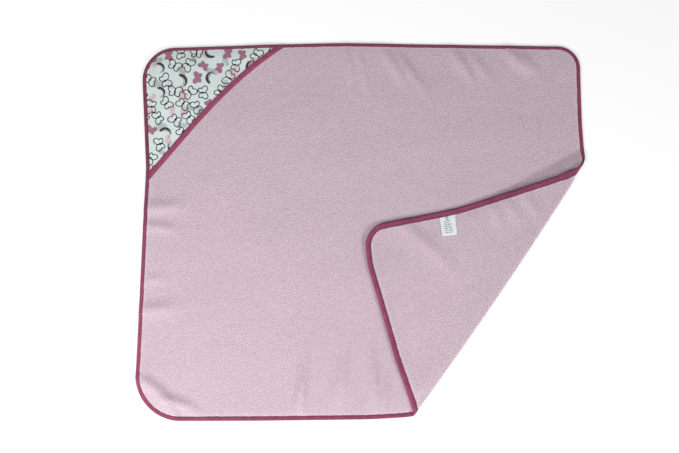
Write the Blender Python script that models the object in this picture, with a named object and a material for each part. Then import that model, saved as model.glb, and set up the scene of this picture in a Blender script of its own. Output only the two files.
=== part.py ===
"""Hooded baby towel: a terry square bound in bias tape, with a lined hood in its upper left corner, its
lower right corner folded over along a crease, and a care label sewn to that corner's reverse."""

import math

import bmesh
import bpy

# Towel outline, seen from above: X along the hood's top edge, Y towards it, Z up from the floor.
WIDTH = 0.900
DEPTH = 0.758
RADIUS_LOWER_LEFT = 0.078
RADIUS_HOOD = 0.062
RADIUS_UPPER_RIGHT = 0.045
CORNER_STEPS = 10

# Cloth and tape thicknesses.
TERRY = 0.0030
TAPE_WIDTH = 0.0090
TAPE_CLOTH = 0.0007
TAPE_PROUD = 0.0008
TAPE_ROUNDING = 0.0012
CLEARANCE = 0.0003
BUTT_GAP = 0.00015
LIP_BOTTOM = TAPE_CLOTH + CLEARANCE
LIP_TOP = TERRY + TAPE_PROUD - TAPE_CLOTH - CLEARANCE
LIP_INSET = TAPE_CLOTH + CLEARANCE
BODY_INSET = TAPE_WIDTH + CLEARANCE

# Stitching: one bead of thread along each tape.
STITCH_INSET = 0.0070
STITCH_WIDTH = 0.0005
STITCH_HEIGHT = 0.00025
STITCH_LIFT = 0.00005
STITCH_FROM_CREASE = 0.020

# Folded corner: the crease line's two ends, the corner's outline once folded, and the half roll between.
CREASE_LOW = (0.0913, -DEPTH / 2)
CREASE_HIGH = (WIDTH / 2, 0.1346)
CORNER_LEFT_BEND = (0.028, -0.140)
CORNER_TIP = (0.008, 0.004)
CORNER_TOP_BEND = (0.215, 0.045)
CORNER_RADII = (0.60, 0.045, 0.50)
FOLD_GAP = 0.0020
ROLL_OUTER = TERRY + FOLD_GAP / 2
ROLL_STEPS = 12

# Hood: distance of its free edge's ends from the towel's corner, and how far that edge bows to the corner.
HOOD_LEG = 0.2730
HOOD_BOW = 0.0150
HOOD_BASE = TERRY + CLEARANCE
HOOD_TAPE_CLOTH = 0.0005
HOOD_LINING = 0.0012
HOOD_COTTON = 0.0004
HOOD_STEPS = 16

# Joints: how far out of the crease line, and how high, the corner's turning axis lies, and the label's.
FOLD_AXIS_OUT = 0.0035
FOLD_AXIS_HEIGHT = 0.0071
LABEL_AXIS_HEIGHT = 0.0103

# Care label, lying on the folded corner's upper face.
LABEL_WIDTH = 0.029
LABEL_LENGTH = 0.041
LABEL_CLOTH = 0.0003
LABEL_HEAD = (0.1765, 0.0265)
LABEL_TURN = math.radians(12.0)
LABEL_SLANT = math.radians(-6.0)

LEFT = -WIDTH / 2
RIGHT = WIDTH / 2
BOTTOM = -DEPTH / 2
TOP = DEPTH / 2
FLAP_BASE = TERRY + FOLD_GAP
FLAP_TOP = FLAP_BASE + TERRY


def clear_scene():
    for item in list(bpy.data.objects):
        bpy.data.objects.remove(item, do_unlink=True)


def material(name, colour, roughness):
    made = bpy.data.materials.new(name)
    made.use_nodes = True
    shader = made.node_tree.nodes["Principled BSDF"]
    shader.inputs["Base Color"].default_value = (*colour, 1.0)
    shader.inputs["Roughness"].default_value = roughness
    return made


def pivot(name, location, parent=None):
    """An empty on a joint's axis, which the pieces that turn about it are parented to."""
    made = bpy.data.objects.new(name, None)
    made.empty_display_size = 0.02
    base = parent["at"] if parent else (0.0, 0.0, 0.0)
    made.location = [own - under for own, under in zip(location, base)]
    made.parent = parent
    made["at"] = location
    bpy.context.collection.objects.link(made)
    return made


def hang(pieces, empty):
    """The pieces turn with this empty, and stay where they were modelled."""
    for piece in pieces:
        piece.parent = empty
        piece.location = [-value for value in empty["at"]]


def mesh_object(name, points, faces, surface):
    """One closed body from points in metres, its faces turned outwards."""
    mesh = bpy.data.meshes.new(name)
    mesh.from_pydata(points, [], faces)
    shaped = bmesh.new()
    shaped.from_mesh(mesh)
    bmesh.ops.recalc_face_normals(shaped, faces=shaped.faces)
    shaped.to_mesh(mesh)
    shaped.free()
    mesh.materials.append(surface)
    made = bpy.data.objects.new(name, mesh)
    bpy.context.collection.objects.link(made)
    return made


def unit(start, end):
    length = math.dist(start, end)
    return ((end[0] - start[0]) / length, (end[1] - start[1]) / length)


def crossing(point, along, other, other_along):
    """Where two lines in the plane meet."""
    scale = along[0] * other_along[1] - along[1] * other_along[0]
    reach = ((other[0] - point[0]) * other_along[1] - (other[1] - point[1]) * other_along[0]) / scale
    return (point[0] + along[0] * reach, point[1] + along[1] * reach)


CREASE_ALONG = unit(CREASE_LOW, CREASE_HIGH)
CREASE_OUT = (CREASE_ALONG[1], -CREASE_ALONG[0])


def bound_path(vertices, radii, inset, back):
    """The line at this inset from a bound edge whose inside lies to the right of its travel. Corners are
    rounded, and both ends stop on the crease line moved back by this much."""
    lines = []
    for start, end in zip(vertices, vertices[1:]):
        along = unit(start, end)
        lines.append(((start[0] + along[1] * inset, start[1] - along[0] * inset), along))
    stop = (CREASE_LOW[0] - CREASE_OUT[0] * back, CREASE_LOW[1] - CREASE_OUT[1] * back)
    path = [crossing(*lines[0], stop, CREASE_ALONG)]
    for (first, second), radius in zip(zip(lines, lines[1:]), radii):
        corner = crossing(*first, *second)
        path.extend(fillet(corner, first[1], second[1], radius, inset))
    path.append(crossing(*lines[-1], stop, CREASE_ALONG))
    return path


def fillet(corner, arriving, leaving, radius, inset):
    """Points of the arc that rounds a corner, for a path at this inset from one of this radius."""
    turn = math.atan2(
        arriving[0] * leaving[1] - arriving[1] * leaving[0],
        arriving[0] * leaving[0] + arriving[1] * leaving[1],
    )
    side = math.copysign(1.0, turn)
    radius = radius + side * inset
    reach = radius * math.tan(abs(turn) / 2)
    start = (corner[0] - arriving[0] * reach, corner[1] - arriving[1] * reach)
    middle = (start[0] - side * arriving[1] * radius, start[1] + side * arriving[0] * radius)
    first = math.atan2(start[1] - middle[1], start[0] - middle[0])
    points = []
    for step in range(CORNER_STEPS + 1):
        angle = first + turn * step / CORNER_STEPS
        points.append((middle[0] + radius * math.cos(angle), middle[1] + radius * math.sin(angle)))
    return points


def main_path(inset, back=BUTT_GAP):
    """The main panel's edge, from the crease's low end round by the hood to its high end."""
    vertices = (CREASE_LOW, (LEFT, BOTTOM), (LEFT, TOP), (RIGHT, TOP), CREASE_HIGH)
    return bound_path(vertices, (RADIUS_LOWER_LEFT, RADIUS_HOOD, RADIUS_UPPER_RIGHT), inset, back)


def corner_path(inset, back=BUTT_GAP):
    """The folded corner's edge, from the crease's low end round its tip to the high end."""
    vertices = (CREASE_LOW, CORNER_LEFT_BEND, CORNER_TIP, CORNER_TOP_BEND, CREASE_HIGH)
    return bound_path(vertices, CORNER_RADII, inset, back)


def prism(outline, low, high):
    """Points and faces of a flat plate with this outline."""
    count = len(outline)
    points = [(x, y, low) for x, y in outline] + [(x, y, high) for x, y in outline]
    faces = [tuple(range(count)), tuple(range(count, 2 * count))]
    for index in range(count):
        after = (index + 1) % count
        faces.append((index, after, after + count, index + count))
    return points, faces


def plate(name, outline, low, high, surface):
    return mesh_object(name, *prism(outline, low, high), surface)


def lipped_plate(name, path, low, lip_low, lip_high, high, surface):
    """A terry panel: full thickness inside its tape, and a thinner lip pressed inside the tape's fold."""
    made = plate(name, path(BODY_INSET), low, high, surface)
    lip = plate(name + "_lip", path(LIP_INSET), lip_low, lip_high, surface)
    lip.hide_render = True
    lip.display_type = "WIRE"
    join = made.modifiers.new("lip", "BOOLEAN")
    join.operation = "UNION"
    join.solver = "EXACT"
    join.object = lip
    return made, lip


def swept(name, profile, rail, surface):
    """A bar with this closed profile. Each profile point is (inset, height), and rail(inset) is its line."""
    rows = []
    for inset, height in profile:
        rows.append([(x, y, height) for x, y in rail(inset)])
    stations = len(rows[0])
    count = len(profile)
    points = [point for row in rows for point in row]
    faces = []
    for index in range(count):
        after = (index + 1) % count
        for step in range(stations - 1):
            near = index * stations + step
            far = after * stations + step
            faces.append((near, near + 1, far + 1, far))
    faces.append(tuple(index * stations for index in range(count)))
    faces.append(tuple(index * stations + stations - 1 for index in range(count)))
    return mesh_object(name, points, faces, surface)


def tape_profile(low, high, cloth):
    """A tape folded in half over an edge: open inwards, rounded outwards."""
    profile = [
        (TAPE_WIDTH, low),
        (TAPE_WIDTH, low + cloth),
        (TAPE_CLOTH, low + cloth),
        (TAPE_CLOTH, high - cloth),
        (TAPE_WIDTH, high - cloth),
        (TAPE_WIDTH, high),
    ]
    for middle, first in ((high - TAPE_ROUNDING, 90.0), (low + TAPE_ROUNDING, 180.0)):
        for step in range(4):
            angle = math.radians(first + 30.0 * step)
            profile.append(
                (TAPE_ROUNDING * (1 + math.cos(angle)), middle + TAPE_ROUNDING * math.sin(angle))
            )
    return profile


def bead_profile(inset, base):
    """A line of thread lying on a tape."""
    half = STITCH_WIDTH / 2
    low = base + STITCH_LIFT
    high = low + STITCH_HEIGHT
    return [(inset - half, low), (inset + half, low), (inset + half, high), (inset - half, high)]


def roll_profile(inner):
    """The half roll's section: (distance out from the crease line, height)."""
    profile = []
    middle = TERRY + FOLD_GAP / 2
    for radius, order in ((ROLL_OUTER, 1), (inner, -1)):
        for step in range(ROLL_STEPS + 1):
            angle = math.radians(-90.0 + 180.0 * step / ROLL_STEPS) * order
            profile.append((radius * math.cos(angle), middle + radius * math.sin(angle)))
    return profile


def roll_point(out, side, inset):
    """Where a line this far out from the crease meets the towel's side at this inset."""
    start = (CREASE_LOW[0] + CREASE_OUT[0] * out, CREASE_LOW[1] + CREASE_OUT[1] * out)
    if side == "low":
        return crossing(start, CREASE_ALONG, (0.0, BOTTOM + inset), (1.0, 0.0))
    return crossing(start, CREASE_ALONG, (RIGHT - inset, 0.0), (0.0, 1.0))


def roll(name, inner, first, last, surface):
    """A stretch of the half roll, between two of the towel's sides, each given as (side, inset)."""
    return swept(
        name, roll_profile(inner), lambda out: [roll_point(out, *first), roll_point(out, *last)], surface
    )


def hood_arc(inset):
    """The hood's free edge at this distance inside it, from the left side to the top side."""
    chord = HOOD_LEG * math.sqrt(2)
    radius = chord * chord / (8 * HOOD_BOW) + HOOD_BOW / 2
    back = (HOOD_LEG / math.sqrt(2) + radius - HOOD_BOW) / math.sqrt(2)
    middle = (LEFT + back, TOP - back)
    radius = radius + inset
    first = math.acos((LEFT + BODY_INSET - middle[0]) / radius)
    last = math.pi - math.asin((TOP - BODY_INSET - middle[1]) / radius)
    points = []
    for step in range(HOOD_STEPS + 1):
        angle = first + (last - first) * step / HOOD_STEPS
        points.append((middle[0] + radius * math.cos(angle), middle[1] + radius * math.sin(angle)))
    return points


def hood_outline():
    """The hood's cloth: its two sewn sides and the arc of its free edge inside the tape."""
    path = main_path(BODY_INSET)
    legs = path[CORNER_STEPS + 2 : 2 * CORNER_STEPS + 3]
    return legs + hood_arc(LIP_INSET)[::-1]


def label_outline(margin, near, far):
    """A strip across the label, from near to far along its length."""
    across = (math.cos(LABEL_TURN), math.sin(LABEL_TURN))
    down = (math.sin(LABEL_TURN + LABEL_SLANT), -math.cos(LABEL_TURN + LABEL_SLANT))
    half = LABEL_WIDTH / 2 - margin
    outline = []
    for side, reach in ((-half, near), (half, near), (half, far), (-half, far)):
        outline.append(
            (
                LABEL_HEAD[0] + across[0] * side + down[0] * reach,
                LABEL_HEAD[1] + across[1] * side + down[1] * reach,
            )
        )
    return outline


clear_scene()
terry = material("pink_terry", (0.62, 0.47, 0.54), 0.95)
tape = material("maroon_tape", (0.29, 0.055, 0.115), 0.75)
thread = material("maroon_thread", (0.24, 0.045, 0.10), 0.60)
cotton = material("printed_cotton", (0.68, 0.77, 0.75), 0.85)
satin = material("label_satin", (0.80, 0.83, 0.81), 0.50)

# The towel lying flat, cut along the crease.
lipped_plate("main_panel", main_path, 0.0, LIP_BOTTOM, LIP_TOP, TERRY, terry)
swept("edge_binding", tape_profile(0.0, TERRY + TAPE_PROUD, TAPE_CLOTH), main_path, tape)
swept(
    "edge_stitching",
    bead_profile(STITCH_INSET, TERRY + TAPE_PROUD),
    lambda inset: main_path(inset, STITCH_FROM_CREASE),
    thread,
)

# The half roll of cloth along the crease, with the tape's turn at each end of it.
roll("crease_panel", FOLD_GAP / 2, ("low", BODY_INSET), ("high", BODY_INSET), terry)
tape_inner = FOLD_GAP / 2 - TAPE_PROUD
roll("crease_binding_bottom", tape_inner, ("low", 0.0), ("low", TAPE_WIDTH), tape)
roll("crease_binding_right", tape_inner, ("high", TAPE_WIDTH), ("high", 0.0), tape)

# The folded corner, reverse side up.
corner_sheet, corner_lip = lipped_plate(
    "corner_panel", corner_path, FLAP_BASE, FLAP_TOP - LIP_TOP, FLAP_TOP - LIP_BOTTOM, FLAP_TOP, terry
)
corner_pieces = [
    corner_sheet,
    corner_lip,
    swept("corner_binding", tape_profile(FLAP_BASE - TAPE_PROUD, FLAP_TOP, TAPE_CLOTH), corner_path, tape),
    swept(
        "corner_stitching",
        bead_profile(STITCH_INSET, FLAP_TOP),
        lambda inset: corner_path(inset, STITCH_FROM_CREASE),
        thread,
    ),
]

# The hood: terry lining, printed cotton over it, and the tape along its free edge.
lining_base = HOOD_BASE + HOOD_TAPE_CLOTH + CLEARANCE
cotton_base = lining_base + HOOD_LINING + CLEARANCE
hood_top = cotton_base + HOOD_COTTON + CLEARANCE + HOOD_TAPE_CLOTH
hood_pieces = [
    plate("hood_lining", hood_outline(), lining_base, lining_base + HOOD_LINING, terry),
    plate("hood_cotton", hood_outline(), cotton_base, cotton_base + HOOD_COTTON, cotton),
    swept("hood_binding", tape_profile(HOOD_BASE, hood_top, HOOD_TAPE_CLOTH), hood_arc, tape),
    swept("hood_stitching", bead_profile(STITCH_INSET, hood_top), hood_arc, thread),
]

# The care label and the line of stitches across its head.
label_base = FLAP_TOP + CLEARANCE
label_top = label_base + LABEL_CLOTH
label_pieces = [
    plate("care_label", label_outline(0.0, 0.0, LABEL_LENGTH), label_base, label_top, satin),
    plate(
        "label_stitching",
        label_outline(0.002, 0.0015, 0.0015 + STITCH_WIDTH),
        label_top + STITCH_LIFT,
        label_top + STITCH_LIFT + STITCH_HEIGHT,
        thread,
    ),
]

# The corner unfolds about the crease, the hood opens about the towel's corner, the label about its head.
fold_axis = (
    (CREASE_LOW[0] + CREASE_HIGH[0]) / 2 + CREASE_OUT[0] * FOLD_AXIS_OUT,
    (CREASE_LOW[1] + CREASE_HIGH[1]) / 2 + CREASE_OUT[1] * FOLD_AXIS_OUT,
    FOLD_AXIS_HEIGHT,
)
fold_pivot = pivot("corner_fold_axis", fold_axis)
hang(corner_pieces, fold_pivot)
hang(hood_pieces, pivot("hood_open_axis", (LEFT, TOP, HOOD_BASE)))
hang(label_pieces, pivot("label_flip_axis", (*LABEL_HEAD, LABEL_AXIS_HEIGHT), fold_pivot))
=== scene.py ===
"""Hooded baby towel, laid flat with one corner folded over: terry, bias tape, printed hood and label."""

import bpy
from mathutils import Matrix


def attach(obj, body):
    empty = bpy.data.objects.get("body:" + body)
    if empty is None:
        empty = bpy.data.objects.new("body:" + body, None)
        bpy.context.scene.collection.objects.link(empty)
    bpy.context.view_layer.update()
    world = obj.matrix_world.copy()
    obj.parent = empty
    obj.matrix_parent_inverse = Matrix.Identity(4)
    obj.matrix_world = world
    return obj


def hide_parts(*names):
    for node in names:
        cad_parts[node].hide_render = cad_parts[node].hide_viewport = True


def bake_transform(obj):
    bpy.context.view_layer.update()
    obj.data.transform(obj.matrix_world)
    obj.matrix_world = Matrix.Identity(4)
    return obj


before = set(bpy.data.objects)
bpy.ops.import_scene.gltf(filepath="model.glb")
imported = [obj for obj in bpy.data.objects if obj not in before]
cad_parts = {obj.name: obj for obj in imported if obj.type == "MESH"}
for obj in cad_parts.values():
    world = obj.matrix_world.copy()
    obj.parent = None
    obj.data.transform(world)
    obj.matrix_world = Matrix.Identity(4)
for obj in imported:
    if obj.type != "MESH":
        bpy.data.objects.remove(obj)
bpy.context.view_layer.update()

import math

import bmesh
import bpy
import numpy as np
from mathutils import Vector, kdtree

# The fold, in the row frame: the crease's low end, its direction, the way out of the towel, how far the
# crease is set in, how far it bows out, and how far it hooks in at its upper end.
CREASE_LOW = np.array([0.0913, -0.379])
CREASE_ALONG = np.array([0.572578, 0.819849])
CREASE_OUT = np.array([0.819849, -0.572578])
CREASE_LENGTH = 0.6265
CREASE_SET = 0.0024
CREASE_BOW = 0.0056
CREASE_HOOK = 0.0026
ROLL_RADIUS = 0.003
ROLL_PATH = math.pi * ROLL_RADIUS

# The fold's axis: its height, how far along the crease that is, and its rise. Then how the corner lies once
# it is laid out flat: its tilt, the least height of its middle, and how softly that limit sets in.
AXIS_HEIGHT = 0.0071
AXIS_ALONG = 0.3132
AXIS_RISE = 0.00255
FLAT_TILT = 0.0035
FLAT_CLEAR = 0.0024
FLAT_SOFT = 0.00025

# Terry: its thickness, the height of its middle, the distance between the middles of two layers, its mesh's
# cell, how far inside the outline it ends, and how much and how far in the seam squeezes it.
TERRY = 0.0026
MID_HEIGHT = 0.0004 + 0.0019
REST_GAP = 0.0044
CELL = 0.004
KEEP = 0.0012
PINCH = 0.45
PINCH_REACH = 0.004

# Tape: its width along the sides, on the far side and on the corner, the seam's place, and where it twists.
TAPE_SIDE = 0.0081
TAPE_SLANT = 0.0008
TAPE_CORNER = 0.0118
SEAM_INSET = 0.0017
SEAM_HEIGHT = 0.00146
TWIST_AT = (0.45, 0.1345)
TWIST_REACH = 0.0115
TWIST_NARROWS = 0.48
STITCH_PITCH = 0.0032
STITCH_LENGTH = 0.0024
STITCH_RADIUS = 0.00026

# The hood: where its free edge's middle line ends, how far it bows, and what lies in it.
HOOD_LOW = np.array([-0.4261, 0.112])
HOOD_HIGH = np.array([-0.1745, 0.369])
HOOD_BOW = 0.0118
HOOD_TAPE = 0.011
HOOD_CORNER = np.array([-0.444, 0.3785])
HOOD_CELL = 0.00125
LINING = 0.0009
COTTON = 0.00035


def smooth(value):
    value = np.clip(value, 0.0, 1.0)
    return value * value * (3 - 2 * value)


def spot(x, y, at, reach):
    """A soft round spot, 1 at its middle."""
    return np.exp(-((np.hypot(x - at[0], y - at[1]) / reach) ** 2))


def turned(x, y, at, angle):
    """Coordinates about a point, along a direction and across it."""
    c, s = math.cos(angle), math.sin(angle)
    return (x - at[0]) * c + (y - at[1]) * s, -(x - at[0]) * s + (y - at[1]) * c


def point_finder(line):
    """A function that gives, for places, the index of the line's point nearest each."""
    tree = kdtree.KDTree(len(line))
    for index, (x, y) in enumerate(line):
        tree.insert((x, y, 0.0), index)
    tree.balance()

    def find(x, y):
        found = [tree.find((a, b, 0.0))[1] for a, b in zip(x.ravel(), y.ravel())]
        return np.array(found).reshape(x.shape)

    return find


# ---- the fold

def crease_shift(along):
    """How far the crease bows out of the straight line between its ends."""
    bow = CREASE_BOW * np.sin(np.pi * np.clip(along / CREASE_LENGTH, 0.0, 1.0))
    return bow - CREASE_SET - CREASE_HOOK * smooth((along - 0.572) / 0.024)


def to_crease(x, y):
    """(along, beyond) of points of the flat cloth, beyond being positive past the crease."""
    dx = x - CREASE_LOW[0]
    dy = y - CREASE_LOW[1]
    along = dx * CREASE_ALONG[0] + dy * CREASE_ALONG[1]
    out = dx * CREASE_OUT[0] + dy * CREASE_OUT[1]
    return along, out - crease_shift(along)


def from_crease(along, beyond):
    out = beyond + crease_shift(along)
    x = CREASE_LOW[0] + along * CREASE_ALONG[0] + out * CREASE_OUT[0]
    y = CREASE_LOW[1] + along * CREASE_ALONG[1] + out * CREASE_OUT[1]
    return x, y


def unfolded(x, y):
    """Where a point of the folded corner, given as it lies, is on the flat cloth."""
    along, beyond = to_crease(np.float64(x), np.float64(y))
    return tuple(float(v) for v in from_crease(along, ROLL_PATH - beyond))


# ---- relief of the laid cloth

CORNER_TIP = (0.0035, 0.0045)

# the lifted cloth: the ends of its soft lower line, how softly and over what width it rises, and how high
WEDGE_LOW = np.array([0.262, 0.066])
WEDGE_HIGH = np.array([0.441, 0.16])
WEDGE_SOFT = 0.0018
WEDGE_WIDTH = 0.022
LIFT = 0.0042
rng = np.random.RandomState(7)
WAVES = [
    (rng.uniform(0.1, 0.3), rng.uniform(0, 2 * np.pi), rng.uniform(0, 2 * np.pi)) for _ in range(14)
]


def below_wedge(x, y):
    """Distance past the soft line that runs from the fold's edge out to the crease's upper end."""
    run = WEDGE_HIGH - WEDGE_LOW
    run = run / np.hypot(*run)
    return (x - WEDGE_LOW[0]) * run[1] - (y - WEDGE_LOW[1]) * run[0]


def wedge(x, y):
    """The cloth rises towards the crease's upper end."""
    below = below_wedge(x, y)
    along = to_crease(x, y)[0]
    rise = np.minimum(np.logaddexp(0.0, below / WEDGE_SOFT) * WEDGE_SOFT / WEDGE_WIDTH, 1.0)
    return LIFT * rise * np.clip(along / CREASE_LENGTH, 0.0, 1.1) ** 2


def undulation(x, y):
    """Low waves all over the cloth."""
    total = np.zeros_like(x)
    for length, turn, phase in WAVES:
        total += np.sin(2 * np.pi * (x * math.cos(turn) + y * math.sin(turn)) / length + phase)
    return 0.00022 * total


def add_puckers(relief, x, y, table, gain):
    """Adds soft ridges: the middle, direction in degrees, length, width and height of each, and any bend."""
    for at, turn, length, width, height, *bend in table:
        u, v = turned(x, y, at, math.radians(turn))
        v = v + sum(bend) * u * u
        relief = relief + gain * height * np.exp(-((2 * u / length) ** 2)) * np.exp(-((2 * v / width) ** 2))
    return relief


PUCKER_GAIN = 2.0
MAIN_PUCKERS = [
    ((-0.024, 0.33), -84, 0.08, 0.018, 0.0013),
    ((0.004, 0.325), -80, 0.08, 0.016, 0.0012),
    ((0.07, 0.33), -60, 0.085, 0.022, 0.0023),
    ((0.1, 0.322), -56, 0.09, 0.022, 0.0018),
    ((0.205, 0.338), -60, 0.075, 0.024, 0.0023),
    ((0.24, 0.335), -58, 0.06, 0.02, 0.0014),
    ((0.318, 0.345), -52, 0.06, 0.022, 0.0024),
    ((0.343, 0.338), -50, 0.05, 0.02, 0.0015),
    ((-0.405, 0.045), 4, 0.08, 0.026, 0.0022),
    ((-0.41, 0.005), -8, 0.07, 0.022, 0.0019),
    ((-0.412, -0.16), 6, 0.08, 0.028, 0.0022),
    ((-0.415, -0.1), 0, 0.05, 0.02, 0.0012),
    ((-0.4, -0.325), -45, 0.13, 0.024, 0.0036, 4.0),
    ((-0.36, -0.345), -20, 0.07, 0.02, 0.0028, 3.0),
    ((-0.121, -0.325), 82, 0.095, 0.02, 0.004),
    ((-0.042, -0.305), 80, 0.1, 0.024, 0.003),
    ((0.022, -0.305), 92, 0.11, 0.022, 0.0034),
    ((0.044, -0.335), 84, 0.08, 0.018, 0.0024),
]

CORNER_PUCKERS = [
    ((0.118, -0.022), -52, 0.08, 0.026, 0.0022, 1.5),
    ((0.16, -0.06), -56, 0.08, 0.03, 0.0016, 1.5),
    ((0.098, -0.02), -62, 0.07, 0.026, 0.0014),
    ((0.268, 0.03), -68, 0.06, 0.026, 0.0018),
    ((0.3, 0.04), -62, 0.06, 0.026, 0.002),
    ((0.335, 0.052), -58, 0.06, 0.024, 0.0016),
    ((0.114, -0.32), 84, 0.05, 0.014, 0.0018),
    ((0.13, -0.3), 76, 0.05, 0.016, 0.001),
]


def main_height(x, y):
    """Height of the middle of the cloth that lies on the floor."""
    relief = np.maximum(undulation(x, y) + 0.0006, 0.0)
    relief = add_puckers(relief, x, y, MAIN_PUCKERS, PUCKER_GAIN)
    beyond = to_crease(x, y)[1]
    return MID_HEIGHT + wedge(x, y) + relief * smooth(-beyond / 0.03)


def corner_gap(x, y, inward, edge):
    """Clear height between the middles of the folded corner and of the cloth under it."""
    gap = REST_GAP + (2 * ROLL_RADIUS - REST_GAP) * (1 - smooth(inward / 0.045))
    # the corner's edge is raised, most along its left side and at its tip
    raised = 0.0003 + 0.0034 * smooth((0.03 - y) / 0.06) + 0.0004 * spot(x, y, CORNER_TIP, 0.07)
    gap = gap + raised * smooth(inward / 0.06) * np.exp(-((np.maximum(edge, 0.0) / 0.022) ** 2))
    return gap + add_puckers(0.0, x, y, CORNER_PUCKERS, 0.75 * PUCKER_GAIN) * smooth(inward / 0.02)


# ---- outline of the flat cloth

def closed_outline(corners, step, soften):
    """A closed line through rounded corners (x, y, radius), with a point every step, softened along it."""
    count = len(corners)
    points = []
    for index, (x, y, radius) in enumerate(corners):
        here = np.array([x, y])
        before = np.array(corners[index - 1][:2])
        after = np.array(corners[(index + 1) % count][:2])
        arriving = (here - before) / np.hypot(*(here - before))
        leaving = (after - here) / np.hypot(*(after - here))
        turn = math.atan2(arriving[0] * leaving[1] - arriving[1] * leaving[0], arriving @ leaving)
        side = math.copysign(1.0, turn)
        reach = radius * math.tan(abs(turn) / 2)
        start = here - arriving * reach
        middle = start + side * radius * np.array([-arriving[1], arriving[0]])
        first = math.atan2(start[1] - middle[1], start[0] - middle[0])
        for part in np.linspace(0.0, 1.0, 25):
            angle = first + turn * part
            points.append(middle + radius * np.array([math.cos(angle), math.sin(angle)]))
    line = np.array(points)
    closed = np.vstack([line, line[:1]])
    reach = np.concatenate([[0.0], np.cumsum(np.hypot(*np.diff(closed, axis=0).T))])
    total = reach[-1]
    amount = int(round(total / step))
    at = np.arange(amount) * total / amount
    line = np.column_stack([np.interp(at, reach, closed[:, k]) for k in range(2)])
    spread = int(3 * soften / step)
    weights = np.exp(-0.5 * (np.arange(-spread, spread + 1) * step / soften) ** 2)
    weights /= weights.sum()
    padded = np.vstack([line[-spread:], line, line[:spread]])
    return np.column_stack([np.convolve(padded[:, k], weights, "valid") for k in range(2)])


OUTLINE_CORNERS = [
    (-0.452, -0.379, 0.09),
    (-0.4408, -0.035, 0.6),
    (-0.4355, 0.125, 0.12),
    (-0.449, 0.3725, 0.066),
    (-0.19, 0.3806, 0.6),
    (-0.045, 0.3836, 1.5),
    (0.4472, 0.3742, 0.046),
    (0.4478, 0.215, 0.4),
    (0.45, 0.17, 0.1),
    (0.452, 0.144, 0.004),
    (*unfolded(0.44, 0.1275), 0.006),
    (*unfolded(0.43, 0.119), 0.02),
    (*unfolded(0.405, 0.1105), 0.1),
    (*unfolded(0.19, 0.0405), 0.3),
    (*unfolded(*CORNER_TIP), 0.046),
    (*unfolded(0.0098, -0.07), 0.15),
    (*unfolded(0.064, -0.26), 0.8),
    (*unfolded(0.096, -0.352), 0.03),
    (0.08, -0.3735, 0.06),
    (0.01, -0.377, 0.5),
    (-0.2, -0.379, 1.00),
]
OUTLINE = closed_outline(OUTLINE_CORNERS, 0.001, 0.003)
OUTLINE_STEP = float(np.hypot(*(OUTLINE[1] - OUTLINE[0])))
nearest_outline = point_finder(OUTLINE)
outline_run = np.roll(OUTLINE, -1, axis=0) - np.roll(OUTLINE, 1, axis=0)
outline_run /= np.hypot(*outline_run.T)[:, None]
# travel is clockwise seen from above, so the cloth lies to the right of it
OUTLINE_IN = np.column_stack([outline_run[:, 1], -outline_run[:, 0]])


def edge_distance(x, y):
    """(distance inside the outline, index of the outline point nearest) for points of the flat cloth."""
    nearest = nearest_outline(x, y)
    dx = x - OUTLINE[nearest, 0]
    dy = y - OUTLINE[nearest, 1]
    return dx * OUTLINE_IN[nearest, 0] + dy * OUTLINE_IN[nearest, 1], nearest


def folded(along, beyond, edge):
    """Points of the middle of the cloth, in the row frame, from its flat place in crease coordinates."""
    angle = np.clip(beyond / ROLL_RADIUS, 0.0, np.pi)
    inward = np.maximum(beyond - ROLL_PATH, 0.0)
    lies = np.where(beyond < 0, beyond, ROLL_RADIUS * np.sin(angle) - inward)
    x, y = from_crease(along, lies)
    base_x, base_y = from_crease(along, np.minimum(lies, 0.0))
    z = main_height(base_x, base_y)
    gap = corner_gap(x, y, inward, edge)
    z = z + gap * (1 - np.cos(angle)) / 2
    # no higher than what still clears the floor once the corner is laid out flat
    most = 2 * (AXIS_HEIGHT + AXIS_RISE * (along - AXIS_ALONG)) - FLAT_CLEAR + FLAT_TILT * inward
    return x, y, z - FLAT_SOFT * np.logaddexp(0.0, (z - most) / FLAT_SOFT) * smooth(inward / 0.03)


def laid(along, beyond, height, edge=None):
    """Points this high above the middle of the cloth, on the hood's side, once it is folded and laid."""
    step = 0.0004
    if edge is None:
        edge = edge_distance(*from_crease(along, beyond))[0]
    middle = np.stack(folded(along, beyond, edge), -1)
    side_a = np.stack(folded(along + step, beyond, edge), -1)
    side_b = np.stack(folded(along, beyond + step, edge), -1)
    normal = np.cross(side_b - middle, side_a - middle)
    normal /= np.linalg.norm(normal, axis=-1, keepdims=True)
    return middle + normal * np.asarray(height)[..., None]


def half_terry(edge, nearest):
    """Half the terry's thickness, which the seam squeezes just inside the tape's inner edge."""
    inside = np.maximum(edge - tape_width(nearest), 0.0)
    return TERRY / 2 * (1 - PINCH * np.exp(-inside / PINCH_REACH))


def corner_share(nearest):
    """0 on the main panel's edge, 1 on the folded corner's, for points of the outline."""
    beyond = to_crease(OUTLINE[nearest, 0], OUTLINE[nearest, 1])[1]
    return smooth((beyond + 0.004) / 0.02)


def twist_share(nearest):
    """1 where the tape twists over the crease's upper end and is seen edge-on."""
    return spot(OUTLINE[nearest, 0], OUTLINE[nearest, 1], TWIST_AT, TWIST_REACH)


def tape_width(nearest):
    side = TAPE_SIDE + TAPE_SLANT * OUTLINE_IN[nearest, 1]
    share = corner_share(nearest)
    width = side + (TAPE_CORNER - TAPE_SLANT * OUTLINE_IN[nearest, 1] - side) * share
    return width * (1 - TWIST_NARROWS * twist_share(nearest))


def hood_share(nearest):
    """1 where the hood's legs are caught in the tape, fading to 0 past their ends."""
    x, y = OUTLINE[nearest, 0], OUTLINE[nearest, 1]
    return smooth((y - 0.096) / 0.012) * smooth((-0.152 - x) / 0.012)


# ---- mesh helpers

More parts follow.
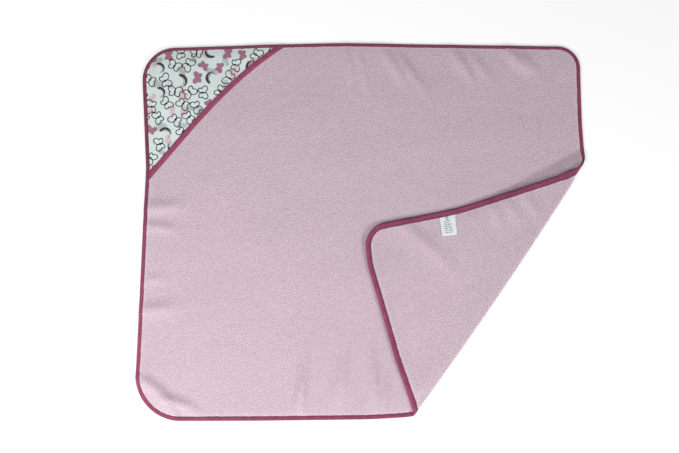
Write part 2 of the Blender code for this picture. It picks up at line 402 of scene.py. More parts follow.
def add_object(name, data):
    made = bpy.data.objects.new(name, data)
    bpy.context.collection.objects.link(made)
    return made


def make_object(name, points, faces, material, attributes, sharp=()):
    """A smooth-shaded piece. attributes are vectors per point, and sharp are pairs of points."""
    mesh = bpy.data.meshes.new(name)
    mesh.from_pydata(np.asarray(points).tolist(), [], faces)
    for label, values in attributes.items():
        layer = mesh.attributes.new(label, "FLOAT_VECTOR", "POINT")
        layer.data.foreach_set("vector", np.asarray(values, np.float32).ravel())
    mesh.shade_smooth()
    if len(sharp):
        wanted = {frozenset(pair) for pair in sharp}
        flags = [frozenset(edge.vertices) in wanted for edge in mesh.edges]
        mesh.attributes.new("sharp_edge", "BOOLEAN", "EDGE").data.foreach_set("value", flags)
    mesh.materials.append(material)
    return add_object(name, mesh)


def sheet_object(name, top, bottom, faces, material, attributes):
    """A sheet of two faces closed round its border. faces index top, wound to face up."""
    count = len(top)
    border = {}
    for face in faces:
        for pair in zip(face, (*face[1:], face[0])):
            if pair[::-1] in border:
                del border[pair[::-1]]
            else:
                border[pair] = True
    under = [tuple(index + count for index in reversed(face)) for face in faces]
    rim = [(q, p, p + count, q + count) for p, q in border]
    sharp = [*border, *((p + count, q + count) for p, q in border)]
    doubled = {label: np.vstack([values, values]) for label, values in attributes.items()}
    return make_object(
        name, np.vstack([top, bottom]), [*faces, *under, *rim], material, doubled, sharp
    )


def grid_faces(cell, index):
    """The used cells of a grid as faces that look up."""
    r, c = np.nonzero(cell)
    corners = [index[r + 1, c], index[r + 1, c + 1], index[r, c + 1], index[r, c]]
    return [tuple(face) for face in np.column_stack(corners).tolist()]


def whole_cells(inside):
    """Cells of a grid that have all four corners inside."""
    return inside[:-1, :-1] & inside[1:, :-1] & inside[:-1, 1:] & inside[1:, 1:]


def grid_points(cell, shape):
    """Which points of a grid its used cells need, and their numbers."""
    used = np.zeros(shape, bool)
    used[:-1, :-1] |= cell
    used[1:, :-1] |= cell
    used[:-1, 1:] |= cell
    used[1:, 1:] |= cell
    index = -np.ones(shape, int)
    index[used] = np.arange(used.sum())
    return used, index


def tube_faces(stations, around, closed):
    faces = []
    for i in range(stations if closed else stations - 1):
        here, there = i * around, ((i + 1) % stations) * around
        for j in range(around):
            after = (j + 1) % around
            faces.append((here + j, here + after, there + after, there + j))
    return faces


def capsules(name, starts, ends, ups, radius, material):
    """Short rounded stitches from starts to ends, arched towards ups."""
    reach = np.array([0.0, 0.12, 0.5, 0.88, 1.0])
    girth = np.array([0.2, 0.85, 1.0, 0.85, 0.2]) * radius
    arch = np.array([-0.8, 0.0, 0.35, 0.0, -0.8]) * radius
    turns = np.arange(6) * math.pi / 3
    run = ends - starts
    sideways = np.cross(run, ups)
    sideways /= np.linalg.norm(sideways, axis=1, keepdims=True)
    middle = starts[:, None] + run[:, None] * reach[:, None] + ups[:, None] * arch[:, None]
    points = (
        middle[:, :, None]
        + sideways[:, None, None] * (girth[:, None] * np.cos(turns))[..., None]
        + ups[:, None, None] * (girth[:, None] * np.sin(turns))[..., None]
    )
    one = tube_faces(5, 6, False) + [(5, 4, 3, 2, 1, 0), (24, 25, 26, 27, 28, 29)]
    faces = [tuple(k * 30 + i for i in face) for k in range(len(starts)) for face in one]
    points = points.reshape(-1, 3)
    return make_object(name, points, faces, material, {"flat": points})


# ---- materials

def new_material(name, colour, roughness, sheen=0.0):
    material = bpy.data.materials.new(name)
    material.use_nodes = True
    shader = material.node_tree.nodes["Principled BSDF"]
    shader.inputs["Base Color"].default_value = (*colour, 1.0)
    shader.inputs["Roughness"].default_value = roughness
    shader.inputs["Sheen Weight"].default_value = sheen
    shader.inputs["Specular IOR Level"].default_value = 0.25
    return material, material.node_tree, shader


def plug(tree, socket, value):
    if isinstance(value, bpy.types.NodeSocket):
        tree.links.new(value, socket)
    else:
        socket.default_value = value


def math_node(tree, operation, *values):
    node = tree.nodes.new("ShaderNodeMath")
    node.operation = operation
    for socket, value in zip(node.inputs, values):
        plug(tree, socket, value)
    return node.outputs[0]


def times(tree, first, second):
    return math_node(tree, "MULTIPLY", first, second)


def attribute(tree, name):
    node = tree.nodes.new("ShaderNodeAttribute")
    node.attribute_name = name
    return node.outputs["Vector"]


def parts(tree, vector):
    node = tree.nodes.new("ShaderNodeSeparateXYZ")
    tree.links.new(vector, node.inputs["Vector"])
    return node.outputs


def weave(tree, place, frequency):
    """Threads along X crossing threads along Y."""
    warp, weft = (math_node(tree, "SINE", times(tree, axis, frequency)) for axis in parts(tree, place)[:2])
    return times(tree, warp, weft)


def noise(tree, coordinates, scale, detail=2.0):
    node = tree.nodes.new("ShaderNodeTexNoise")
    node.inputs["Scale"].default_value = scale
    node.inputs["Detail"].default_value = detail
    tree.links.new(coordinates, node.inputs["Vector"])
    return node.outputs["Fac"]


def cells(tree, coordinates, scale):
    node = tree.nodes.new("ShaderNodeTexVoronoi")
    node.inputs["Scale"].default_value = scale
    tree.links.new(coordinates, node.inputs["Vector"])
    return node.outputs["Distance"]


def ramp(tree, value, low, high, start=0.0, end=1.0):
    node = tree.nodes.new("ShaderNodeMapRange")
    node.interpolation_type = "SMOOTHSTEP"
    plug(tree, node.inputs["Value"], value)
    node.inputs["From Min"].default_value = low
    node.inputs["From Max"].default_value = high
    node.inputs["To Min"].default_value = start
    node.inputs["To Max"].default_value = end
    return node.outputs["Result"]


def mix(tree, share, first, second):
    node = tree.nodes.new("ShaderNodeMix")
    node.data_type = "RGBA"
    plug(tree, node.inputs["Factor"], share)
    plug(tree, node.inputs["A"], first)
    plug(tree, node.inputs["B"], second)
    return node.outputs["Result"]


def scaled_colour(tree, colour, value):
    node = tree.nodes.new("ShaderNodeVectorMath")
    node.operation = "SCALE"
    plug(tree, node.inputs[0], colour)
    plug(tree, node.inputs["Scale"], value)
    return node.outputs["Vector"]


def bump(tree, shader, height, distance, strength=1.0):
    node = tree.nodes.new("ShaderNodeBump")
    node.inputs["Distance"].default_value = distance
    node.inputs["Strength"].default_value = strength
    tree.links.new(height, node.inputs["Height"])
    tree.links.new(node.outputs["Normal"], shader.inputs["Normal"])


def terry_look():
    """Looped cotton: loops of about 1.6 mm, in clumps, with soft mottling."""
    material, tree, shader = new_material("terry", TERRY_PINK, 0.95, 0.25)
    shader.inputs["Sheen Tint"].default_value = (0.9, 0.75, 0.82, 1.0)
    place = attribute(tree, "flat")
    loop = cells(tree, place, 600.0)
    clump = noise(tree, place, 320.0, 2.0)
    mottle = noise(tree, place, 60.0, 3.0)
    shade = math_node(tree, "MULTIPLY_ADD", loop, -0.26, 1.11)
    shade = times(tree, shade, ramp(tree, clump, 0.3, 0.7, 0.88, 1.12))
    shade = times(tree, shade, ramp(tree, mottle, 0.25, 0.75, 0.975, 1.025))
    # painted light: X is painted shade, darker, on the cloth rising towards the crease's upper end; Y is a
    # painted highlight, paler, on the terry beside the tape
    painted_shade_highlight = parts(tree, attribute(tree, "painted_shade_highlight"))
    shade = times(tree, shade, math_node(tree, "MULTIPLY_ADD", painted_shade_highlight["X"], -0.18, 1.0))
    shade = times(tree, shade, math_node(tree, "MULTIPLY_ADD", painted_shade_highlight["Y"], 0.1, 1.0))
    plug(tree, shader.inputs["Base Color"], scaled_colour(tree, TERRY_PINK, shade))
    height = math_node(tree, "MULTIPLY_ADD", loop, -1.0, clump)
    bump(tree, shader, height, 0.0008, 0.8)
    return material


def tape_look():
    """Plain-woven bias tape, its weave at 45 degrees. The Z of flat is its painted light and shade, in
    thousandths.
    """
    material, tree, shader = new_material("tape", TAPE_MAROON, 0.85, 0.15)
    place = attribute(tree, "flat")
    bias = tree.nodes.new("ShaderNodeVectorRotate")
    bias.rotation_type = "Z_AXIS"
    bias.inputs["Angle"].default_value = math.radians(45.0)
    tree.links.new(place, bias.inputs["Vector"])
    threads = weave(tree, bias.outputs["Vector"], 12000.0)
    patch = noise(tree, place, 90.0, 3.0)
    shade = times(tree, parts(tree, place)["Z"], 1000.0)
    shade = times(tree, ramp(tree, patch, 0.25, 0.75, 0.86, 1.14), shade)
    plug(tree, shader.inputs["Base Color"], scaled_colour(tree, TAPE_MAROON, shade))
    bump(tree, shader, math_node(tree, "MULTIPLY_ADD", patch, 3.0, threads), 0.00012, 0.7)
    return material


def thread_look():
    material, tree, shader = new_material("thread", THREAD_MAROON, 0.7)
    shade = ramp(tree, noise(tree, attribute(tree, "flat"), 1500.0, 1.0), 0.2, 0.8, 0.8, 1.2)
    plug(tree, shader.inputs["Base Color"], scaled_colour(tree, THREAD_MAROON, shade))
    return material


def cotton_look():
    """Plain-woven cotton printed from the signed distances to each kind of motif, in millimetres."""
    material, tree, shader = new_material("printed_cotton", COTTON_WHITE, 0.8, 0.1)
    place = attribute(tree, "flat")
    outline, solid, rose = parts(tree, attribute(tree, "print_dark"))
    pale = parts(tree, attribute(tree, "print_pale"))
    line = math_node(tree, "ABSOLUTE", outline)
    colour = (*COTTON_WHITE, 1.0)
    for distance, low, high, share, ink in (
        (pale["X"], -2.0, 1.5, 1.0, PRINT_PINK),
        (pale["Y"], -2.0, 1.5, 0.8, PRINT_GREEN),
        (rose, -0.2, 0.2, 0.9, PRINT_ROSE),
        (line, 0.78, 1.18, 1.0, PRINT_BLACK),
        (solid, -0.15, 0.2, 0.95, PRINT_BLACK),
    ):
        colour = mix(tree, ramp(tree, distance, low, high, share, 0.0), colour, ink)
    plug(tree, shader.inputs["Base Color"], colour)
    slubs = noise(tree, place, 150.0, 2.0)
    bump(tree, shader, math_node(tree, "MULTIPLY_ADD", slubs, 4.0, weave(tree, place, 14000.0)), 0.0001, 0.6)
    return material


def label_look():
    """White satin with a ring and a few short bars, and no lettering."""
    material, tree, shader = new_material("label_satin", LABEL_WHITE, 0.45)
    ring, bars, _ = parts(tree, attribute(tree, "print_dark"))
    ring = math_node(tree, "ABSOLUTE", ring)
    colour = mix(tree, ramp(tree, ring, 0.45, 0.9, 0.95, 0.0), (*LABEL_WHITE, 1.0), LABEL_GREY)
    colour = mix(tree, ramp(tree, bars, 0.0, 0.45, 0.9, 0.0), colour, LABEL_GREY)
    plug(tree, shader.inputs["Base Color"], colour)
    down = parts(tree, attribute(tree, "flat"))["Y"]
    bump(tree, shader, math_node(tree, "SINE", times(tree, down, 16000.0)), 0.00004, 0.4)
    return material


TERRY_PINK = (0.668, 0.525, 0.604)
TAPE_MAROON = (0.305, 0.066, 0.128)
THREAD_MAROON = (0.25, 0.047, 0.1)
COTTON_WHITE = (0.75, 0.84, 0.82)
PRINT_PINK = (0.72, 0.55, 0.6, 1.0)
PRINT_GREEN = (0.42, 0.5, 0.48, 1.0)
PRINT_ROSE = (0.36, 0.115, 0.21, 1.0)
PRINT_BLACK = (0.012, 0.013, 0.016, 1.0)
LABEL_WHITE = (0.88, 0.94, 0.93)
LABEL_GREY = (0.1, 0.11, 0.11, 1.0)

terry_material = terry_look()
tape_material = tape_look()
thread_material = thread_look()
cotton_material = cotton_look()
label_material = label_look()


# ---- terry

# closer columns where the edge crosses the crease
COLUMNS = np.concatenate([
    np.arange(-0.32, -0.0325, CELL),
    np.arange(-0.032, 0.0315, CELL / 3),
    np.arange(0.032, 0.5875, CELL),
    np.arange(0.588, 0.6515, CELL / 3),
    np.arange(0.652, 0.85, CELL),
])


def terry_sheet(name, rows):
    """Both faces of a stretch of terry between rows of the flat cloth, given past the crease."""
    along, beyond = np.meshgrid(COLUMNS, rows)
    x, y = from_crease(along, beyond)
    edge, nearest = edge_distance(x, y)
    inside = edge > KEEP + 0.0024 * twist_share(nearest)
    cell = whole_cells(inside)
    used, index = grid_points(cell, inside.shape)
    half = half_terry(edge, nearest)[used]
    a, b, e = along[used], beyond[used], edge[used]
    faces = grid_faces(cell, index)
    zero = np.zeros(len(a))
    flat = np.column_stack([x[used], y[used], zero])
    below = below_wedge(x[used], y[used])
    # painted shade on the main panel, between the soft line and the corner's edge, towards the crease's upper
    # end
    painted_wedge_shade = smooth(below / 0.004 + 0.5) * smooth((a - 0.4) / 0.05) * smooth(-b / 0.006)
    # a painted highlight on the terry just inside the tape's inner edge
    inner = edge[used] - tape_width(nearest)[used]
    painted_shade_highlight = np.column_stack([painted_wedge_shade, np.exp(-((inner / 0.0042) ** 2)), zero])
    upper, lower = laid(a, b, half, e), laid(a, b, -half, e)
    return sheet_object(name, upper, lower, faces, terry_material, {"flat": flat, "painted_shade_highlight": painted_shade_highlight})


main_rows = -np.arange(0.0, 0.9, CELL)[::-1]
corner_rows = np.concatenate([np.linspace(0.0, ROLL_PATH, 15), ROLL_PATH + np.arange(1, 90) * CELL])
main_terry = terry_sheet("main_terry", main_rows)
corner_terry = terry_sheet("corner_terry", corner_rows)


# ---- tape round the edge

def tape_section(width, stack, loose):
    """Section of the folded tape as (inset, height), round the cloth's edge. stack is the hood's cloth in it,
    and loose is 0 where the lower side is pressed on the floor and 1 where it is as round as the upper."""
    upper = [
        (width, 0.0006),
        (width - 0.00015, 0.00112),
        (width - 0.0006, 0.00146),
        (width - 0.0011, 0.00156),
        (width - SEAM_INSET, SEAM_HEIGHT),
        (width - 0.0024, 0.00168),
        (width * 0.55, 0.00204),
        (width * 0.34, 0.00208),
        (0.00165, 0.00172),
        (0.0007, 0.00106),
        (0.00014, 0.00042),
    ]
    over = [(inset, height + stack * min(1.0, height / 0.0015)) for inset, height in upper]
    return over + [(inset, -height * (0.86 + 0.14 * loose)) for inset, height in reversed(upper)]


def tape_painted_shade_across(inset, width, loose, twist):
    """Painted shade across the tape: darker at its outer edge on the main panel, and at its inner edge on the
    corner, where its outer edge has a painted highlight.
    """
    share = inset / width
    # main panel: painted shade at the outer edge and a little at the inner edge
    flat_painted_shade = 1 - 0.26 * (1 - smooth(share / 0.3)) - 0.12 * smooth((share - 0.72) / 0.2)
    # corner: a painted highlight at the outer edge and painted shade towards the inner edge
    turned = 1 + 0.16 * (1 - smooth((share - 0.15) / 0.45)) - 0.24 * smooth((share - 0.55) / 0.35)
    # painted shade where the tape twists over the crease's upper end
    return (flat_painted_shade * (1 - loose) + turned * loose) * (1 - 0.45 * twist)


def tape_painted_light_round(stops):
    """Painted light round the towel: the tape is painted lighter at the lower left, and painted darker at the
    upper left and along the top.
    """
    x, y = OUTLINE[stops, 0], OUTLINE[stops, 1]
    painted_light_low_left = 0.26 * spot(x, y, (-0.452, -0.23), 0.17)
    painted_shade_left_top = 0.24 * spot(x, y, (-0.44, 0.21), 0.12) + 0.13 * smooth((y - 0.3) / 0.06)
    return 1 + painted_light_low_left - painted_shade_left_top


def ripple(distance, seed, longest, shortest, count=7):
    """Gentle irregularity along a seam, about -1 to 1."""
    draw = np.random.RandomState(seed)
    total = np.zeros_like(distance)
    for _ in range(count):
        total += np.sin(2 * np.pi * distance / draw.uniform(shortest, longest) + draw.uniform(0, 6.28))
    return total / math.sqrt(count)


def stations(fine, coarse):
    """Indices of outline points, closer together where the tape turns over the crease."""
    beyond = to_crease(OUTLINE[:, 0], OUTLINE[:, 1])[1]
    near = (beyond > -0.012) & (beyond < ROLL_PATH + 0.012)
    chosen = [0]
    for index in range(1, len(OUTLINE)):
        if index - chosen[-1] >= (fine if near[index] else coarse):
            chosen.append(index)
    return np.array(chosen)


def split_at_crease(name, points, faces, flats, material):
    """Cuts a piece given in crease coordinates at the crease, and lays both parts."""
    made = []
    for side in ("main", "corner"):
        shaped = bmesh.new()
        layer = shaped.verts.layers.float_vector.new("flat")
        verts = []
        for point, flat in zip(points, flats):
            vert = shaped.verts.new(point)
            vert[layer] = flat
            verts.append(vert)
        for face in faces:
            shaped.faces.new([verts[i] for i in face])
        bmesh.ops.bisect_plane(
            shaped,
            geom=[*shaped.verts, *shaped.edges, *shaped.faces],
            plane_co=(0.0, 0.0, 0.0),
            plane_no=(0.0, 1.0, 0.0),
            dist=1e-7,
            clear_outer=side == "main",
            clear_inner=side == "corner",
        )
        bmesh.ops.holes_fill(shaped, edges=[e for e in shaped.edges if e.is_boundary], sides=0)
        shaped.verts.index_update()
        kept = np.array([v.co for v in shaped.verts])
        kept_flats = np.array([v[layer] for v in shaped.verts])
        kept_faces = [[v.index for v in f.verts] for f in shaped.faces]
        sharp = [
            (e.verts[0].index, e.verts[1].index) for e in shaped.edges
            if abs(e.verts[0].co.y) < 1e-6 and abs(e.verts[1].co.y) < 1e-6
        ]
        shaped.free()
        placed = laid(kept[:, 0], kept[:, 1], kept[:, 2])
        made.append(make_object(f"{side}_{name}", placed, kept_faces, material, {"flat": kept_flats}, sharp))
    return made


def edge_tape():
    stops = stations(1, 3)
    along_edge = stops * OUTLINE_STEP
    widths = tape_width(stops) + 0.00022 * ripple(along_edge, 3, 0.06, 0.012)
    legs = hood_share(stops)
    ends = spot(*OUTLINE[stops].T, (-0.437, 0.102), 0.009) + spot(*OUTLINE[stops].T, (-0.162, 0.381), 0.009)
    stacks = 0.001 * legs + 0.0005 * ends
    swell = 1 + 0.07 * ripple(along_edge, 5, 0.05, 0.014)
    rings, flats = [], []
    shares = zip(stops, widths, stacks, swell, corner_share(stops), twist_share(stops), tape_painted_light_round(stops))
    for stop, width, stack, grown, loose, twist, round_painted_light in shares:
        section = np.array(tape_section(width, stack, loose)) * (1.0, grown)
        xy = OUTLINE[stop] + section[:, :1] * OUTLINE_IN[stop]
        along, beyond = to_crease(xy[:, 0], xy[:, 1])
        rings.append(np.column_stack([along, beyond, section[:, 1]]))
        run = np.concatenate([[0.0], np.cumsum(np.hypot(*np.diff(section, axis=0).T))])
        # painted light and shade: the painted stretches round the towel times the painted shade and highlight
        # across the tape, in thousandths
        shade = 0.001 * round_painted_light * tape_painted_shade_across(section[:, 0], width, loose, twist)
        flats.append(np.column_stack([np.full(len(run), stop * OUTLINE_STEP), run, shade]))
    points = np.vstack(rings)
    faces = tube_faces(len(rings), len(rings[0]), True)
    return split_at_crease("tape", points, faces, np.vstack(flats), tape_material)


main_tape, corner_tape = edge_tape()


def edge_point(distance, inset):
    """Flat-cloth points this far along the outline and this far in."""
    index = distance / OUTLINE_STEP
    low = np.floor(index).astype(int) % len(OUTLINE)
    high = (low + 1) % len(OUTLINE)
    share = (index - np.floor(index))[:, None]
    place = OUTLINE[low] * (1 - share) + OUTLINE[high] * share
    inward = OUTLINE_IN[low] * (1 - share) + OUTLINE_IN[high] * share
    return place + inward * inset[:, None]


def edge_stitches():
    """Straight stitches through the tape, seen on both faces."""
    count = int(len(OUTLINE) * OUTLINE_STEP / STITCH_PITCH)
    begin = np.arange(count) * len(OUTLINE) * OUTLINE_STEP / count
    finish = begin + STITCH_LENGTH
    nearest = np.round((begin + finish) / 2 / OUTLINE_STEP).astype(int) % len(OUTLINE)
    widths = tape_width(nearest) + 0.00022 * ripple(nearest * OUTLINE_STEP, 3, 0.06, 0.012)
    inset = widths - SEAM_INSET
    stack = 0.001 * hood_share(nearest)
    made = {"main": [], "corner": []}
    for face in (1, -1):
        lift = (SEAM_HEIGHT + (stack if face > 0 else 0.0) + 0.00008) * face * (1 if face > 0 else 0.93)
        lift = np.broadcast_to(lift, begin.shape)
        first = to_crease(*edge_point(begin, inset).T)
        last = to_crease(*edge_point(finish, inset).T)
        middle = to_crease(*edge_point((begin + finish) / 2, inset).T)
        starts = laid(*first, lift)
        ends = laid(*last, lift)
        ups = laid(*middle, lift * 2) - laid(*middle, lift)
        ups /= np.linalg.norm(ups, axis=1, keepdims=True)
        over = middle[1] > 0
        for side, chosen in (("main", ~over), ("corner", over)):
            made[side].append((starts[chosen], ends[chosen], ups[chosen]))
    pieces = []
    for side, parts in made.items():
        starts, ends, ups = (np.vstack(values) for values in zip(*parts))
        pieces.append(capsules(f"{side}_stitches", starts, ends, ups, STITCH_RADIUS, thread_material))
    return pieces


main_stitches, corner_stitches = edge_stitches()


# ---- hood

def hood_arc(share, extra=0.0):
    """Points of the middle of the hood's taped edge, from the left leg up to the top one."""
    chord = HOOD_HIGH - HOOD_LOW
    outward = np.array([-chord[1], chord[0]]) / np.hypot(*chord)
    bow = 4 * HOOD_BOW * share * (1 - share) * (1.03 + 0.9 * (share - 0.5))
    return HOOD_LOW + share[:, None] * chord + (bow + extra)[:, None] * outward


ARC = hood_arc(np.linspace(-0.08, 1.08, 600))
nearest_arc = point_finder(ARC)
arc_run = np.gradient(ARC, axis=0)
arc_run /= np.hypot(*arc_run.T)[:, None]
ARC_OUT = np.column_stack([arc_run[:, 1], -arc_run[:, 0]])


def arc_distance(x, y):
    """Distance from the middle of the hood's taped edge, positive under the hood."""
    nearest = nearest_arc(x, y)
    dx, dy = x - ARC[nearest, 0], y - ARC[nearest, 1]
    return -(dx * ARC_OUT[nearest, 0] + dy * ARC_OUT[nearest, 1])


def hood_ground(x, y, edge, nearest):
    """Height of the towel's upper face where the hood lies on it."""
    return main_height(x, y) + half_terry(edge, nearest)


HOOD_PUCKERS = [
    ((-0.405, 0.34), -45, 0.06, 0.02, 0.0007),
    ((-0.33, 0.335), 30, 0.07, 0.028, 0.0008),
    ((-0.4, 0.25), 70, 0.08, 0.026, 0.0008),
    ((-0.26, 0.35), 10, 0.06, 0.018, 0.0006),
    ((-0.418, 0.18), 85, 0.06, 0.016, 0.0006),
]


def circle(u, v, at, radius):
    return np.hypot(u - at[0], v - at[1]) - radius


def stroke(u, v, a, b, radius):
    run = np.array(b) - np.array(a)
    share = np.clip(((u - a[0]) * run[0] + (v - a[1]) * run[1]) / (run @ run), 0.0, 1.0)
    return np.hypot(u - a[0] - share * run[0], v - a[1] - share * run[1]) - radius


def lobe(u, v, at, radii, turn):
    """Roughly the signed distance to an ellipse."""
    p, q = turned(u, v, at, math.radians(turn))
    return (np.hypot(p / radii[0], q / radii[1]) - 1) * math.sqrt(radii[0] * radii[1])


def wings(u, v, size):
    """Signed distance to a large and a small round wing a side."""
    side = np.abs(u)
    upper = lobe(side, v, (5.3 * size, 3.2 * size), (5.6 * size, 4.4 * size), 34)
    lower = lobe(side, v, (4.1 * size, -3.1 * size), (4.1 * size, 3.2 * size), -32)
    return np.minimum(upper, lower)


def body(u, v, size):
    side = np.abs(u)
    trunk = stroke(u, v, (0.0, 3.0 * size), (0.0, -3.8 * size), 0.85 * size)
    feeler = stroke(side, v, (0.0, 3.0 * size), (1.7 * size, 6.4 * size), 0.35 * size)
    return np.minimum(trunk, feeler)


def crescent(u, v, size):
    outer = circle(u, v, (0.0, 0.0), 7.0 * size)
    inner = circle(u, v, (1.2 * size, -1.5 * size), 6.15 * size)
    thick = np.maximum(np.maximum(outer, -inner), -v - 2.0 * size)
    thin = np.abs(circle(u, v, (0.9 * size, -1.6 * size), 5.2 * size)) - 0.3 * size
    return np.minimum(thick, np.maximum(thin, -v - 1.0 * size))


# the print: its pitch in millimetres and the sizes of its motifs
PRINT_PITCH = 31.0
CRESCENT_SIZE = 1.8
ROSE_SIZE = 1.12
WING_SIZE = 1.26
BODY_SIZE = 1.1


def print_distances(x, y):
    """Signed distances in millimetres to the print's motifs, scattered over the cotton."""
    x, y = x * 1000, y * 1000
    outline, solid, rose, pink, green = np.full((5, *x.shape), 50.0)
    draw = np.random.RandomState(21)
    kinds = []
    for row in range(13):
        for column in range(13):
            at = (
                -458 + PRINT_PITCH * (column + 0.5 * (row % 2)) + draw.uniform(-4, 4),
                92 + PRINT_PITCH * 0.87 * row + draw.uniform(-4, 4),
            )
            turn = draw.uniform(0, 2 * math.pi)
            pick = (row * 5 + column * 3 + draw.randint(0, 2)) % 11
            kinds.append((at, turn, pick, draw.uniform(0.92, 1.12)))
    for at, turn, pick, size in kinds:
        u, v = turned(x, y, at, turn)
        if pick in (0, 5):
            solid = np.minimum(solid, crescent(u, v, CRESCENT_SIZE * size))
        elif pick in (2, 6, 9):
            filled = ROSE_SIZE * size
            rose = np.minimum(rose, np.minimum(wings(u, v, filled), body(u, v, filled)))
        else:
            wing = wings(u, v, WING_SIZE * size)
            outline = np.where(np.abs(wing) < np.abs(outline), wing, outline)
            solid = np.minimum(solid, body(u, v, BODY_SIZE * size))
        if pick in (1, 4, 0, 8):
            for at, radius in (((15.0, 2.0), 7.0), ((22.0, -3.0), 5.5)):
                pink = np.minimum(pink, circle(u, v, at, radius))
        elif pick in (2, 7, 5, 10):
            for at, radius in (((-15.0, 3.0), 6.5), ((-22.0, -2.0), 5.0)):
                green = np.minimum(green, circle(u, v, at, radius))
    return np.stack([outline, solid, rose], -1), np.stack([pink, green, 0 * pink], -1)


def hood_cloth():
    """Lining and printed cotton, each in two halves that meet on the diagonal through the towel's corner."""
    across = int(0.3 / HOOD_CELL)
    column, row = np.meshgrid(np.arange(-8, across), np.arange(-8, across))
    x = HOOD_CORNER[0] + column * HOOD_CELL
    y = HOOD_CORNER[1] - row * HOOD_CELL
    edge, nearest = edge_distance(x, y)
    hem = arc_distance(x, y)
    inside = (edge > 0.003) & (hem > -0.002)
    free = np.minimum(edge - tape_width(nearest), hem - HOOD_TAPE / 2)
    fill = smooth(free / 0.016)
    relief = add_puckers(0.0, x, y, HOOD_PUCKERS, 1.0) * fill
    heights = [hood_ground(x, y, edge, nearest) + 0.00012 + 0.0002 * fill + relief]
    heights.append(heights[0] + LINING * (0.5 + 0.5 * fill))
    heights.append(heights[1] + 0.00006 + 0.0003 * fill)
    heights.append(heights[2] + COTTON)
    cell = whole_cells(inside)
    cell_column, cell_row = column[:-1, :-1], row[:-1, :-1]
    dark, pale = print_distances(x, y)
    flat = np.stack([x, y, np.zeros(x.shape)], -1)
    made = {}
    for side, mine in (("left", cell_column < cell_row), ("top", cell_column > cell_row)):
        diagonal = cell & (cell_column == cell_row)
        used, index = grid_points((cell & mine) | diagonal, inside.shape)
        faces = grid_faces(cell & mine, index)
        r, c = np.nonzero(diagonal)
        if side == "left":
            thirds = np.column_stack([index[r, c], index[r + 1, c], index[r + 1, c + 1]])
        else:
            thirds = np.column_stack([index[r, c], index[r + 1, c + 1], index[r, c + 1]])
        faces += [tuple(face) for face in thirds.tolist()]
        seen = np.zeros(int(used.sum()), bool)
        seen[np.concatenate([np.array(face) for face in faces])] = True
        again = -np.ones(len(seen), int)
        again[seen] = np.arange(seen.sum())
        faces = [tuple(again[list(face)].tolist()) for face in faces]
        layers = [np.column_stack([x[used], y[used], h[used]])[seen] for h in heights]
        plain = {"flat": flat[used][seen]}
        printed = {**plain, "print_dark": dark[used][seen], "print_pale": pale[used][seen]}
        for name, (low, high), look, extra in (
            ("lining", layers[:2], terry_material, plain), ("cotton", layers[2:], cotton_material, printed),
        ):
            made[f"{name}_{side}"] = sheet_object(f"hood_{name}_{side}", high, low, faces, look, extra)
    return made


def hood_section():
    """Section of the tape on the hood's edge as (offset towards the towel's middle, height)."""
    half = HOOD_TAPE / 2
    return np.array([
        (half, 0.0011),
        (half - 0.00025, 0.00185),
        (half - 0.0011, 0.00245),
        (half * 0.45, 0.00275),
        (0.0, 0.00282),
        (-half * 0.4, 0.00272),
        (-half + SEAM_INSET + 0.0006, 0.00258),
        (-half + SEAM_INSET, 0.0024),
        (-half + 0.001, 0.0025),
        (-half + 0.0004, 0.00228),
        (-half, 0.00175),
        (-half, 0.0008),
        (-half + 0.0006, 0.0003),
        (-half * 0.4, 0.0001),
        (half * 0.4, 0.0001),
        (half - 0.0007, 0.00032),
    ])


def hood_flatten(edge):
    """The hood's tape is pressed flat where it runs under the edge tape."""
    return 0.5 + 0.5 * smooth((edge - 0.0085) / 0.012)


def hood_line(offset, count):
    """Points along the hood's edge at this offset, trimmed where they come within the edge tape."""
    shares = np.linspace(-0.08, 1.08, 700)
    line = hood_arc(shares, np.full(700, -offset))
    edge = edge_distance(line[:, 0], line[:, 1])[0]
    inside = np.nonzero(edge > 0.003)[0]
    wanted = np.linspace(shares[inside[0]], shares[inside[-1]], count)
    return hood_arc(wanted, np.full(count, -offset))


def hood_tape():
    """The tape on the hood's free edge, in two halves."""
    section = hood_section()
    count = 121
    lines = np.stack([hood_line(offset, count) for offset, _ in section], 1)
    distance = np.linspace(0.0, 0.37, count)
    grown = 1 + 0.05 * ripple(distance, 9, 0.05, 0.014)
    edge, nearest = edge_distance(lines[..., 0], lines[..., 1])
    z = hood_ground(lines[..., 0], lines[..., 1], edge, nearest)
    z = z + section[:, 1] * hood_flatten(edge) * grown[:, None]
    points = np.dstack([lines, z])
    run = np.concatenate([[0.0], np.cumsum(np.hypot(*np.diff(section, axis=0).T))])
    # painted light: the hood's tape is painted lighter than the edge tape, with painted shade towards both
    # its edges
    hood_tape_painted_light = 0.001 * 1.18 * (1 - 0.14 * smooth((np.abs(section[:, 0]) / (HOOD_TAPE / 2) - 0.6) / 0.4))
    flats = np.stack(np.broadcast_arrays(distance[:, None], run[None, :], hood_tape_painted_light[None, :]), -1)
    middle = lines[:, 4]
    diagonal = (middle[:, 0] - HOOD_CORNER[0]) - (HOOD_CORNER[1] - middle[:, 1])
    split = int(np.argmin(np.abs(diagonal)))
    made = {}
    around = len(section)
    for side, part in (("left", slice(0, split + 1)), ("top", slice(split, count))):
        ring_points = points[part].reshape(-1, 3)
        ring_flats = flats[part].reshape(-1, 3)
        length = len(points[part])
        faces = [tuple(reversed(face)) for face in tube_faces(length, around, False)]
        first = tuple(range(around))
        last = tuple(reversed(range((length - 1) * around, length * around)))
        faces += [first, last]
        sharp = [pair for ring in (first, last) for pair in zip(ring, (*ring[1:], ring[0]))]
        made[f"tape_{side}"] = make_object(
            f"hood_tape_{side}", ring_points, faces, tape_material, {"flat": ring_flats}, sharp
        )
    return made


